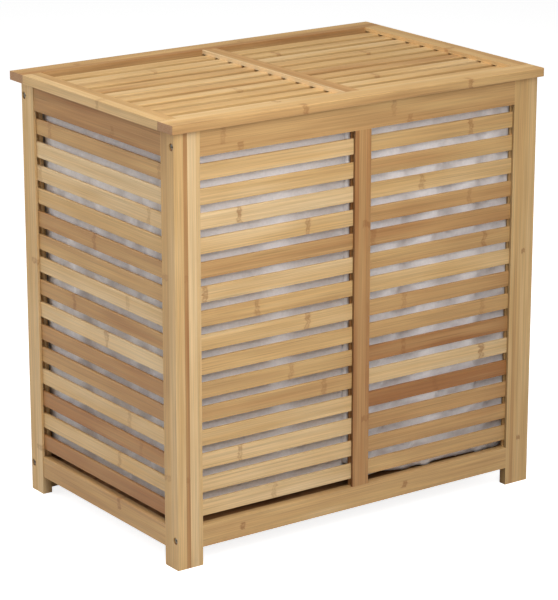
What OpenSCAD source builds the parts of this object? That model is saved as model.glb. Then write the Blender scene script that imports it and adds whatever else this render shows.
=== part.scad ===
// Laundry hamper: a knock-down bamboo body with slatted sides, two hanging
// liner bags and one slatted lid on two rear butt hinges.
// The origin is the bottom centre of the closed hamper's box.
// X runs left to right, Y front to back and Z up. All sizes are millimetres.

/* [Body] */
// Width of the body across the outer faces of the legs
body_w = 588; // [540:2:640]
// Depth of the body from front face to back face
body_d = 373; // [350:1:420]
// Height of the body from the floor to the top of the legs
body_h = 580; // [520:1:640]
// Height of the feet below the bottom rails
foot_h = 25; // [18:1:40]

/* [Frames] */
// Thickness of the side legs
leg_t = 14; // [14:1:18]
// Width of the side legs, along the depth of the body
leg_w = 30; // [28:1:40]
// Thickness of the front and back frames
panel_t = 12; // [12:1:14]
// Thickness of the side rails
side_rail_t = 12; // [11:1:12]
// Width of the corner stiles in the front and back frames
stile_w = 25; // [24:1:32]
// Width of the centre stiles in the front and back frames
centre_stile_w = 26; // [24:1:34]
// Height of the top rails
top_rail_h = 33; // [32:1:40]
// Height of the bottom rails
bottom_rail_h = 30; // [28:1:40]

/* [Slats] */
// Number of slats in each body panel
slat_n = 15; // [12:1:15]
// Height of a body slat
slat_h = 21; // [16:1:22]
// Thickness of every slat
slat_t = 5; // [4:0.5:5]
// How far the front and back slats lie behind the frame's outer face
slat_recess = 4; // [3:0.5:4]
// How far the side slats lie behind the legs' outer face
side_slat_recess = 3.5; // [3:0.5:5]

/* [Lid] */
// Overhang of the lid past each side of the body
lid_side_hang = 6; // [2:1:10]
// Overhang of the lid past the front of the body
lid_front_hang = 7; // [2:1:12]
// Overhang of the lid past the back, which covers the hinges
lid_back_hang = 20; // [20:1:24]
// Thickness of the lid
lid_t = 12; // [12:1:16]
// Gap between the body and the lid, kept open by the bumpers
lid_gap = 1.5; // [1.5:0.1:1.8]
// Width of the front and back rails of the lid
lid_rail_w = 34; // [30:1:40]
// Width of the side rails of the lid
lid_side_rail_w = 28; // [24:1:36]
// Width of the centre rail of the lid
lid_centre_rail_w = 24; // [22:1:36]
// Number of slats in each half of the lid
lid_slat_n = 10; // [8:1:11]
// Width of a lid slat
lid_slat_w = 20; // [16:1:20]

/* [Hinges] */
// Distance of each hinge from the middle of the body
hinge_x = 180; // [120:5:220]
// Length of a hinge
hinge_len = 50; // [40:5:60]
// Radius of the hinge knuckles
knuckle_r = 2.5; // [2.4:0.1:2.6]
// Radius of the hinge pin
pin_r = 1; // [0.8:0.1:1.2]
// Thickness of the hinge leaves
leaf_t = 1.2; // [1:0.1:1.2]

/* [Inside] */
// Width of the bar that parts the two bags
crossbar_w = 12; // [12:1:16]
// Thickness of the base board
base_t = 4; // [3:0.5:6]
// Width and height of the battens under the base board
batten = 12; // [10:1:14]
// Wall of the liner bags
bag_wall = 2; // [1.5:0.5:3]
// Clear height between the base board and the bottom of a bag
bag_lift = 5; // [3:1:12]
// Width of the hook-and-loop tapes
tape_w = 20; // [15:1:22]
// Thickness of the closed hook-and-loop tapes
tape_t = 2; // [1.5:0.5:2.5]

/* [Hidden] */

$fn = 48;
cut = 1;             // how far a cutting shape passes a surface
play = 0.1;          // gap on each side of a tongue or slat in its groove
hole_play = 0.05;    // radial gap between a fastener and its hole

// Colours
pale_bamboo = [0.86, 0.70, 0.47];
warm_bamboo = [0.80, 0.61, 0.39];
dark_bamboo = [0.72, 0.51, 0.31];
plywood = [0.62, 0.46, 0.30];
beech = [0.85, 0.72, 0.55];
steel = [0.62, 0.62, 0.60];
brass = [0.78, 0.62, 0.32];
cloth = [0.93, 0.92, 0.90];
tape_white = [0.86, 0.86, 0.85];
rubber = [0.80, 0.79, 0.76];

// Planes of the body
side_x = body_w / 2;
depth_all = lid_front_hang + body_d + lid_back_hang;
front_y = -depth_all / 2 + lid_front_hang;
back_y = front_y + body_d;
mid_y = (front_y + back_y) / 2;
inner_x = side_x - leg_t;                 // inner faces of the legs
front_in_y = front_y + panel_t;           // inner faces of the front and back frames
back_in_y = back_y - panel_t;
stile_in_x = inner_x - stile_w;           // inner edges of the corner stiles
rail_z0 = foot_h;
rail_z1 = foot_h + bottom_rail_h;         // top of the bottom rails
top_z0 = body_h - top_rail_h;             // underside of the top rails
slat_gap = (top_z0 - rail_z1 - slat_n * slat_h) / (slat_n + 1);
slat_pitch = slat_h + slat_gap;

// Grooves, tongues and slat ends
groove_deep = 6;
tongue = groove_deep - 0.3;
groove_z0 = foot_h + 4;                   // grooves stop short of the feet

// Bolts, inserts and dowels
bolt_r = 2.45;
bolt_head_r = 3.9;
bolt_head_h = 5;
bolt_sink = 2;                            // head lies this far below the leg's face
bolt_len = 20;
bolt_hex = 3;                             // across the flats of the hexagon socket
bolt_hex_deep = 2.5;
bolt_top_z = body_h - 16.5;
bolt_low_z = foot_h + bottom_rail_h / 2;
bolt_zs = [bolt_low_z, bolt_top_z];
bore_r = 2.75;
counterbore_r = 4.8;
insert_r = 3.5;
insert_len = 12;
dowel_r = 3;
dowel_leg_deep = 8;
dowel_stile_deep = 11;
dowel_zs = [0.3 * body_h, 0.7 * body_h];
dowel_end_deep = 10;                      // depth of a dowel hole in a rail or stile end
bar_dowel_zs = [body_h - 17, body_h - 7];
bar_dowel_deep = 14;
bar_dowel_rail_deep = 7;

// Base
batten_x = inner_x - 10;
batten_z1 = rail_z1 - 9;
batten_z0 = batten_z1 - batten;
base_z1 = batten_z1 + base_t;
base_edge = 0.5;
screw_r = 1.5;
screw_head_r = 3.4;
screw_head_h = 2.4;
screw_len = 20;
screw_xs = [-0.85, -0.3, 0.3, 0.85] * batten_x;

// Bags and tapes
side_rail_in_x = side_x - 1 - side_rail_t;
tape_z1 = body_h - 8;
tape_z0 = tape_z1 - tape_w;
tape_end = 4;                             // the tapes stop this far from a corner
bag_air = 0.4;                            // air between a bag and its tapes
bag_x0 = crossbar_w / 2 + tape_t + bag_air;
bag_x1 = side_rail_in_x - tape_t - bag_air;
bag_y0 = front_in_y + tape_t + bag_air;
bag_y1 = back_in_y - tape_t - bag_air;
bag_z0 = base_z1 + bag_lift;
bag_z1 = body_h - 10;

// Lid
lid_x = side_x + lid_side_hang;
lid_y0 = front_y - lid_front_hang;
lid_y1 = back_y + lid_back_hang;
lid_z0 = body_h + lid_gap;
lid_z1 = lid_z0 + lid_t;
lid_bay_y0 = lid_y0 + lid_rail_w;
lid_bay_y1 = lid_y1 - lid_rail_w;
lid_bay_x0 = lid_centre_rail_w / 2;
lid_bay_x1 = lid_x - lid_side_rail_w;
lid_slat_gap = (lid_bay_y1 - lid_bay_y0 - lid_slat_n * lid_slat_w) / (lid_slat_n + 1);
lid_slat_under = 1.5;                     // wood of the rails below the slats
lid_slat_z0 = lid_z0 + lid_slat_under;
lid_tongue_inset = 3;
bumper_r = 5;
bumper_air = 0.1;                         // the bumpers stay just clear of the legs

// Hinges
hinge_y = back_y + knuckle_r + 0.5;
hinge_z = lid_z0 - knuckle_r - 0.5;
hinge_segments = 5;
segment = hinge_len / hinge_segments;
segment_play = 0.2;
pin_bore_r = pin_r + hole_play;
body_leaf_h = 22;
lid_leaf_w = 14;
notch = knuckle_r + 0.6;                  // cut-outs that clear the other leaf's knuckles
hinge_screw_r = 1.1;
hinge_screw_head_r = 2.3;
hinge_screw_len = 9;
hinge_screw_dx = 0.34 * hinge_len;
leaf_screw_z = hinge_z - 12;
leaf_screw_y = hinge_y + 9;

// ---- Placing helpers -------------------------------------------------------

// Front frame shapes moved to the back frame
module to_back() translate([0, 2 * mid_y, 0]) mirror([0, 1, 0]) children();

// Left side shapes moved to the right side
module to_right() mirror([1, 0, 0]) children();

// A copy on the left and a mirrored copy on the right
module both_sides() {
    children();
    to_right() children();
}

// A copy at the front and a mirrored copy at the back
module front_and_back() {
    children();
    to_back() children();
}

// A box between two opposite corners
module box(low, high) translate(low) cube(high - low);

// A cylinder along +X, +Y or +Z from a point
module rod_x(p, r, len) translate(p) rotate([0, 90, 0]) cylinder(r = r, h = len);
module rod_y(p, r, len) translate(p) rotate([-90, 0, 0]) cylinder(r = r, h = len);
module rod_z(p, r, len) translate(p) cylinder(r = r, h = len);

// A countersunk wood screw whose head is flush at the origin and points down
module wood_screw(r, head_r, head_h, len) difference() {
    union() {
        translate([0, 0, -head_h]) cylinder(r1 = r, r2 = head_r, h = head_h);
        translate([0, 0, -len + 2 * r]) cylinder(r = r, h = len - 2 * r - head_h / 2);
        translate([0, 0, -len]) cylinder(r1 = 0.15 * r, r2 = r, h = 2 * r);
    }
    for (turn = [0, 90]) rotate([0, 0, turn])
        translate([-0.55 * head_r, -0.12 * head_r, -0.5 * head_h])
            cube([1.1 * head_r, 0.24 * head_r, head_h]);
}

// The hole for such a screw: a countersink and a straight hole
module screw_hole(r, head_r, head_h, len) {
    translate([0, 0, -head_h - hole_play])
        cylinder(r1 = r + hole_play, r2 = head_r + hole_play, h = head_h + hole_play);
    translate([0, 0, -len]) cylinder(r = r + hole_play, h = len);
    translate([0, 0, -hole_play / 2]) cylinder(r = head_r + hole_play, h = cut);
}

// ---- Side frames, drawn on the left ----------------------------------------

module leg_shape() difference() {
    box([-side_x, front_y, 0], [-inner_x, front_y + leg_w, body_h]);
    box([-side_x + side_slat_recess - play, front_y + leg_w - groove_deep, groove_z0],
        [-side_x + side_slat_recess + slat_t + play, front_y + leg_w + cut, body_h + cut]);
    for (z = bolt_zs) {
        rod_x([-side_x - cut, front_y + panel_t / 2, z], bore_r, leg_t + 2 * cut);
        rod_x([-side_x - cut, front_y + panel_t / 2, z], counterbore_r,
              bolt_sink + bolt_head_h + cut);
    }
    for (z = dowel_zs)
        rod_x([-inner_x - dowel_leg_deep, front_y + panel_t / 2, z],
              dowel_r + hole_play, dowel_leg_deep + cut);
}

// A side rail between two heights, with a tongue at each end
module side_rail_shape(z0, z1) {
    rail_y0 = front_y + leg_w;
    rail_y1 = back_y - leg_w;
    tongue_z0 = max(z0, groove_z0 + play);
    box([-side_x + 1, rail_y0, z0], [-side_rail_in_x, rail_y1, z1]);
    box([-side_x + side_slat_recess, rail_y0 - tongue, tongue_z0],
        [-side_x + side_slat_recess + slat_t, rail_y1 + tongue, z1]);
}

module side_slats_shape() for (i = [0 : slat_n - 1]) {
    z = rail_z1 + slat_gap + i * slat_pitch;
    box([-side_x + side_slat_recess, front_y + leg_w - tongue, z],
        [-side_x + side_slat_recess + slat_t, back_y - leg_w + tongue, z + slat_h]);
}

// ---- Front and back frames, drawn at the front -----------------------------

// A groove in a stile's edge at x; side is +1 when the groove opens towards +X
module stile_groove(x, side, z0) {
    x0 = side > 0 ? x - groove_deep : x - cut;
    box([x0, front_y + slat_recess - play, z0],
        [x0 + groove_deep + cut, front_y + slat_recess + slat_t + play, body_h + cut]);
}

// The left corner stile, which reaches the floor beside the leg
module corner_stile_shape() difference() {
    box([-inner_x, front_y, 0], [-stile_in_x, front_in_y, body_h]);
    stile_groove(-stile_in_x, 1, groove_z0);
    for (z = bolt_zs) {
        rod_x([-inner_x - cut, front_y + panel_t / 2, z],
              insert_r + hole_play, insert_len + cut);
        rod_x([-inner_x, front_y + panel_t / 2, z], bore_r, insert_len + 3);
    }
    for (z = dowel_zs)
        rod_x([-inner_x - cut, front_y + panel_t / 2, z],
              dowel_r + hole_play, dowel_stile_deep + cut);
}

module centre_stile_shape() difference() {
    half = centre_stile_w / 2;
    box([-half, front_y, rail_z1], [half, front_in_y, top_z0]);
    stile_groove(half, 1, rail_z1 - cut);
    stile_groove(-half, -1, rail_z1 - cut);
    for (z = [rail_z1 - cut, top_z0 - dowel_end_deep])
        rod_z([0, front_y + panel_t / 2, z], dowel_r + hole_play, dowel_end_deep + cut);
}

// A rail across the frame, with a tongue at each end
module rail_shape(z0, z1) {
    tongue_z0 = max(z0, groove_z0 + play);
    box([-stile_in_x, front_y, z0], [stile_in_x, front_in_y, z1]);
    box([-stile_in_x - tongue, front_y + slat_recess, tongue_z0],
        [stile_in_x + tongue, front_y + slat_recess + slat_t, z1]);
}

module top_rail_shape() difference() {
    rail_shape(top_z0, body_h);
    rod_z([0, front_y + panel_t / 2, top_z0 - cut], dowel_r + hole_play, dowel_end_deep + cut);
    for (z = bar_dowel_zs)
        rod_y([0, front_in_y - bar_dowel_rail_deep, z],
              dowel_r + hole_play, bar_dowel_rail_deep + cut);
}

module bottom_rail_shape() difference() {
    rail_shape(rail_z0, rail_z1);
    rod_z([0, front_y + panel_t / 2, rail_z1 - dowel_end_deep],
          dowel_r + hole_play, dowel_end_deep + cut);
    for (x = screw_xs) at_batten_screw(x)
        screw_hole(screw_r, screw_head_r, screw_head_h, screw_len + hole_play);
}

module slats_shape() for (i = [0 : slat_n - 1]) {
    z = rail_z1 + slat_gap + i * slat_pitch;
    box([-stile_in_x - tongue, front_y + slat_recess, z],
        [-centre_stile_w / 2 + tongue, front_y + slat_recess + slat_t, z + slat_h]);
}

// ---- Fasteners of the body ---------------------------------------------------

// The place of a batten screw: its head faces into the body
module at_batten_screw(x)
    translate([x, front_in_y + batten, (batten_z0 + batten_z1) / 2]) rotate([-90, 0, 0]) children();

// Eight socket-head bolts, one at each end of each corner joint
module bolt_shape() for (z = bolt_zs) {
    head_x = -side_x + bolt_sink;
    difference() {
        rod_x([head_x, front_y + panel_t / 2, z], bolt_head_r, bolt_head_h);
        translate([head_x - cut, front_y + panel_t / 2, z]) rotate([0, 90, 0])
            cylinder(d = bolt_hex / cos(30), h = bolt_hex_deep + cut, $fn = 6);
    }
    rod_x([head_x + bolt_head_h - cut, front_y + panel_t / 2, z], bolt_r, bolt_len + cut);
}

module insert_shape() for (z = bolt_zs) difference() {
    rod_x([-inner_x, front_y + panel_t / 2, z], insert_r, insert_len);
    rod_x([-inner_x - cut, front_y + panel_t / 2, z], bolt_r + hole_play, insert_len + 2 * cut);
}

module corner_dowel_shape() for (z = dowel_zs)
    rod_x([-inner_x - dowel_leg_deep + play, front_y + panel_t / 2, z],
          dowel_r, dowel_leg_deep + dowel_stile_deep - 2 * play);

module centre_dowel_shape() {
    for (z = [rail_z1, top_z0])
        rod_z([0, front_y + panel_t / 2, z - dowel_end_deep + play],
              dowel_r, 2 * (dowel_end_deep - play));
    for (z = bar_dowel_zs)
        rod_y([0, front_in_y - bar_dowel_rail_deep + play, z],
              dowel_r, bar_dowel_rail_deep + bar_dowel_deep - 2 * play);
}

// ---- Inside ------------------------------------------------------------------

module batten_shape() difference() {
    box([-batten_x, front_in_y, batten_z0], [batten_x, front_in_y + batten, batten_z1]);
    for (x = screw_xs) at_batten_screw(x)
        screw_hole(screw_r, screw_head_r, screw_head_h, screw_len);
}

// The right bag: a plain open box the size of the hanging cloth
module bag_shape() difference() {
    box([bag_x0, bag_y0, bag_z0], [bag_x1, bag_y1, bag_z1]);
    box([bag_x0 + bag_wall, bag_y0 + bag_wall, bag_z0 + bag_wall],
        [bag_x1 - bag_wall, bag_y1 - bag_wall, bag_z1 + cut]);
}

// Four tapes round the mouth of the right bag, stopping short of the legs
module tapes_shape() {
    tape_x0 = bag_x0 + tape_end;
    tape_x1 = bag_x1 - tape_end;
    tape_y0 = front_y + leg_w + tape_end;
    tape_y1 = back_y - leg_w - tape_end;
    box([tape_x0, front_in_y, tape_z0], [tape_x1, front_in_y + tape_t, tape_z1]);
    box([tape_x0, back_in_y - tape_t, tape_z0], [tape_x1, back_in_y, tape_z1]);
    box([crossbar_w / 2, tape_y0, tape_z0], [crossbar_w / 2 + tape_t, tape_y1, tape_z1]);
    box([side_rail_in_x - tape_t, tape_y0, tape_z0], [side_rail_in_x, tape_y1, tape_z1]);
}

// ---- Hinges --------------------------------------------------------------------

// The segments of a knuckle that belong to one leaf
module knuckle(first) for (i = [first : 2 : hinge_segments - 1])
    rod_x([-hinge_len / 2 + i * segment + segment_play / 2, hinge_y, hinge_z],
          knuckle_r, segment - segment_play);

// The space that a leaf leaves for the other leaf's knuckle segments
module knuckle_room(first) for (i = [first : 2 : hinge_segments - 1])
    rod_x([-hinge_len / 2 + i * segment - segment_play / 2, hinge_y, hinge_z],
          notch, segment + segment_play);

module pin_bore() rod_x([-hinge_len / 2 - cut, hinge_y, hinge_z], pin_bore_r, hinge_len + 2 * cut);

// Screws through the leaf on the body, from behind
module at_body_leaf_screws() for (i = [-1 : 1])
    translate([i * hinge_screw_dx, back_y + leaf_t, leaf_screw_z - 4 * (1 - abs(i))])
        rotate([-90, 0, 0]) children();

// Screws through the leaf on the lid, from below
module at_lid_leaf_screws() for (i = [-1 : 1])
    translate([i * hinge_screw_dx, leaf_screw_y, lid_z0 - leaf_t]) rotate([180, 0, 0]) children();

module hinge_screw() wood_screw(hinge_screw_r, hinge_screw_head_r, leaf_t, hinge_screw_len);
module hinge_screw_hole()
    screw_hole(hinge_screw_r, hinge_screw_head_r, leaf_t, hinge_screw_len + hole_play);

module body_leaf_shape() difference() {
    union() {
        difference() {
            box([-hinge_len / 2, back_y, hinge_z - body_leaf_h],
                [hinge_len / 2, back_y + leaf_t, hinge_z]);
            knuckle_room(1);
        }
        knuckle(0);
    }
    pin_bore();
    at_body_leaf_screws() hinge_screw_hole();
}

module lid_leaf_shape() difference() {
    union() {
        difference() {
            box([-hinge_len / 2, hinge_y, lid_z0 - leaf_t],
                [hinge_len / 2, hinge_y + lid_leaf_w, lid_z0]);
            knuckle_room(0);
        }
        knuckle(1);
    }
    pin_bore();
    at_lid_leaf_screws() hinge_screw_hole();
}

// A copy at each of the two hinges
module at_hinges() for (side = [-1, 1]) translate([side * hinge_x, 0, 0]) children();

// ---- Lid -------------------------------------------------------------------------

// A pocket in the front rail for the tongue of a rail that lies between x0 and x1
module lid_pocket(x0, x1)
    box([x0 + lid_tongue_inset - play, lid_bay_y0 - groove_deep, lid_slat_z0 - play],
        [x1 - lid_tongue_inset + play, lid_bay_y0 + cut, lid_slat_z0 + slat_t + play]);

module lid_end_rail_shape() difference() {
    box([-lid_x, lid_y0, lid_z0], [lid_x, lid_bay_y0, lid_z1]);
    both_sides() lid_pocket(-lid_x, -lid_bay_x1);
    lid_pocket(-lid_bay_x0, lid_bay_x0);
}

// A rail of the lid that runs from front to back, between x0 and x1
module lid_rail_shape(x0, x1, groove_left, groove_right) {
    difference() {
        box([x0, lid_bay_y0, lid_z0], [x1, lid_bay_y1, lid_z1]);
        if (groove_left) lid_groove(x0 - cut);
        if (groove_right) lid_groove(x1 - groove_deep);
    }
    core_x0 = x0 + (groove_left ? groove_deep + play : lid_tongue_inset);
    core_x1 = x1 - (groove_right ? groove_deep + play : lid_tongue_inset);
    box([core_x0, lid_bay_y0 - tongue, lid_slat_z0],
        [core_x1, lid_bay_y1 + tongue, lid_slat_z0 + slat_t]);
}

module lid_groove(x0)
    box([x0, lid_bay_y0 - cut, lid_slat_z0 - play],
        [x0 + groove_deep + cut, lid_bay_y1 + cut, lid_slat_z0 + slat_t + play]);

// The slats of the right half of the lid
module lid_slats_shape() for (i = [0 : lid_slat_n - 1]) {
    y = lid_bay_y0 + lid_slat_gap + i * (lid_slat_w + lid_slat_gap);
    box([lid_bay_x0 - tongue, y, lid_slat_z0],
        [lid_bay_x1 + tongue, y + lid_slat_w, lid_slat_z0 + slat_t]);
}

// ---- Sub-parts: left and right side frames -----------------------------------------

module left_front_leg() color(pale_bamboo) leg_shape();
module left_back_leg() color(pale_bamboo) to_back() leg_shape();
module left_top_rail() color(dark_bamboo) side_rail_shape(top_z0, body_h);
module left_bottom_rail() color(warm_bamboo) side_rail_shape(rail_z0, rail_z1);
module left_slats() color(warm_bamboo) side_slats_shape();
module right_front_leg() color(pale_bamboo) to_right() leg_shape();
module right_back_leg() color(pale_bamboo) to_right() to_back() leg_shape();
module right_top_rail() color(dark_bamboo) to_right() side_rail_shape(top_z0, body_h);
module right_bottom_rail() color(warm_bamboo) to_right() side_rail_shape(rail_z0, rail_z1);
module right_slats() color(warm_bamboo) to_right() side_slats_shape();

// ---- Sub-parts: front and back frames ------------------------------------------------

module front_left_stile() color(pale_bamboo) corner_stile_shape();
module front_centre_stile() color(dark_bamboo) centre_stile_shape();
module front_right_stile() color(pale_bamboo) to_right() corner_stile_shape();
module front_top_rail() color(dark_bamboo) top_rail_shape();
module front_bottom_rail() color(warm_bamboo) bottom_rail_shape();
module front_left_slats() color(pale_bamboo) slats_shape();
module front_right_slats() color(pale_bamboo) to_right() slats_shape();
module back_left_stile() color(pale_bamboo) to_back() corner_stile_shape();
module back_centre_stile() color(dark_bamboo) to_back() centre_stile_shape();
module back_right_stile() color(pale_bamboo) to_right() to_back() corner_stile_shape();
module back_top_rail() color(dark_bamboo) difference() {
    to_back() top_rail_shape();
    at_hinges() at_body_leaf_screws() hinge_screw_hole();
}
module back_bottom_rail() color(warm_bamboo) to_back() bottom_rail_shape();
module back_left_slats() color(pale_bamboo) to_back() slats_shape();
module back_right_slats() color(pale_bamboo) to_right() to_back() slats_shape();

// ---- Sub-parts: inside ------------------------------------------------------------------

module centre_crossbar() color(warm_bamboo) difference() {
    box([-crossbar_w / 2, front_in_y, top_z0], [crossbar_w / 2, back_in_y, body_h]);
    front_and_back() for (z = bar_dowel_zs)
        rod_y([0, front_in_y - cut, z], dowel_r + hole_play, bar_dowel_deep + cut);
}
module base_board() color(plywood)
    box([-inner_x + base_edge, front_in_y + base_edge, batten_z1],
        [inner_x - base_edge, back_in_y - base_edge, base_z1]);
module front_base_batten() color(warm_bamboo) batten_shape();
module back_base_batten() color(warm_bamboo) to_back() batten_shape();
module left_liner_bag() color(cloth) mirror([1, 0, 0]) bag_shape();
module right_liner_bag() color(cloth) bag_shape();
module hook_tapes() color(tape_white) both_sides() tapes_shape();

// ---- Sub-parts: fasteners of the body ------------------------------------------------------

module frame_bolts() color(steel) both_sides() front_and_back() bolt_shape();
module threaded_inserts() color(brass) both_sides() front_and_back() insert_shape();
module locating_dowels() color(beech) {
    both_sides() front_and_back() corner_dowel_shape();
    front_and_back() centre_dowel_shape();
}
module batten_screws() color(steel) front_and_back() for (x = screw_xs)
    at_batten_screw(x) wood_screw(screw_r, screw_head_r, screw_head_h, screw_len);

// ---- Sub-parts: hinges ------------------------------------------------------------------------

module hinge_body_leaves() color(steel) at_hinges() body_leaf_shape();
module hinge_lid_leaves() color(steel) at_hinges() lid_leaf_shape();
module hinge_pins() color(steel) at_hinges()
    rod_x([-hinge_len / 2, hinge_y, hinge_z], pin_r, hinge_len);
module hinge_body_screws() color(steel) at_hinges() at_body_leaf_screws() hinge_screw();
module hinge_lid_screws() color(steel) at_hinges() at_lid_leaf_screws() hinge_screw();

// ---- Sub-parts: lid -----------------------------------------------------------------------------

module lid_front_rail() color(pale_bamboo) lid_end_rail_shape();
module lid_back_rail() color(pale_bamboo) difference() {
    mirror([0, 1, 0]) lid_end_rail_shape();
    at_hinges() at_lid_leaf_screws() hinge_screw_hole();
}
module lid_left_rail() color(pale_bamboo) lid_rail_shape(-lid_x, -lid_bay_x1, false, true);
module lid_centre_rail() color(dark_bamboo) lid_rail_shape(-lid_bay_x0, lid_bay_x0, true, true);
module lid_right_rail() color(pale_bamboo) lid_rail_shape(lid_bay_x1, lid_x, true, false);
module lid_left_slats() color(pale_bamboo) mirror([1, 0, 0]) lid_slats_shape();
module lid_right_slats() color(pale_bamboo) lid_slats_shape();
module lid_bumpers() color(rubber) both_sides() front_and_back()
    rod_z([-side_x + leg_t / 2, front_y + leg_w / 2, body_h + bumper_air],
          bumper_r, lid_gap - bumper_air);

// ---- Drawing ---------------------------------------------------------------------------------------

left_front_leg();
left_back_leg();
left_top_rail();
left_bottom_rail();
left_slats();
right_front_leg();
right_back_leg();
right_top_rail();
right_bottom_rail();
right_slats();
front_left_stile();
front_centre_stile();
front_right_stile();
front_top_rail();
front_bottom_rail();
front_left_slats();
front_right_slats();
back_left_stile();
back_centre_stile();
back_right_stile();
back_top_rail();
back_bottom_rail();
back_left_slats();
back_right_slats();
centre_crossbar();
base_board();
front_base_batten();
back_base_batten();
left_liner_bag();
right_liner_bag();
hook_tapes();
frame_bolts();
threaded_inserts();
locating_dowels();
batten_screws();
hinge_body_leaves();
hinge_pins();
hinge_body_screws();
lid_front_rail();
lid_back_rail();
lid_left_rail();
lid_centre_rail();
lid_right_rail();
lid_left_slats();
lid_right_slats();
lid_bumpers();
hinge_lid_leaves();
hinge_lid_screws();
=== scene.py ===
import math
import random

import bpy
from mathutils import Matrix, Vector, noise
from mathutils.bvhtree import BVHTree


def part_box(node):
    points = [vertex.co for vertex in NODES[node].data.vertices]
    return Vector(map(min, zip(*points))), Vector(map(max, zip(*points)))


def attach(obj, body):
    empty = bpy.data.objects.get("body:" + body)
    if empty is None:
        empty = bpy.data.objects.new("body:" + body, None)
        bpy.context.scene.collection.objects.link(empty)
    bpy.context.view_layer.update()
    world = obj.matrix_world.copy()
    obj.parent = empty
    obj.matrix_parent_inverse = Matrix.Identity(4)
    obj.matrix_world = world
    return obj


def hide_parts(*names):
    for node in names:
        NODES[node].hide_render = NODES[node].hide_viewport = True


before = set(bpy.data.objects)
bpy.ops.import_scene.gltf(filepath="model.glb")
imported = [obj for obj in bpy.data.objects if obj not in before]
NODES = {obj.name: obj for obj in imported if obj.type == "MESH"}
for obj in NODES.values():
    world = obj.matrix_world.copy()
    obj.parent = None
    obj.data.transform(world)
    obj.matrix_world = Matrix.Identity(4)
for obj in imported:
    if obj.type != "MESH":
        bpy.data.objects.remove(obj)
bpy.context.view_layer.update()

# A slatted bamboo laundry hamper with two liner bags. The CAD nodes keep their shape and get eased
# edges and the materials of their real parts. The two bags are simulated cloth with creases.

MM = 0.001
X, Y, Z = 0, 1, 2


def srgb(red, green, blue):
    """A colour given as 0-255 display values, as the linear colour that shaders take."""
    linear = []
    for value in (red / 255, green / 255, blue / 255):
        linear.append(value / 12.92 if value <= 0.04045 else ((value + 0.055) / 1.055) ** 2.4)
    return (*linear, 1.0)


def clamp(value, low=0.0, high=1.0):
    return min(high, max(low, value))


def mesh_object(name, points, faces):
    """A new object in the scene with a mesh of these points and faces."""
    mesh = bpy.data.meshes.new(name)
    mesh.from_pydata(points, [], faces)
    made = bpy.data.objects.new(name, mesh)
    bpy.context.scene.collection.objects.link(made)
    return made


# ---- Material helpers ---------------------------------------------------------------------------

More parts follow.
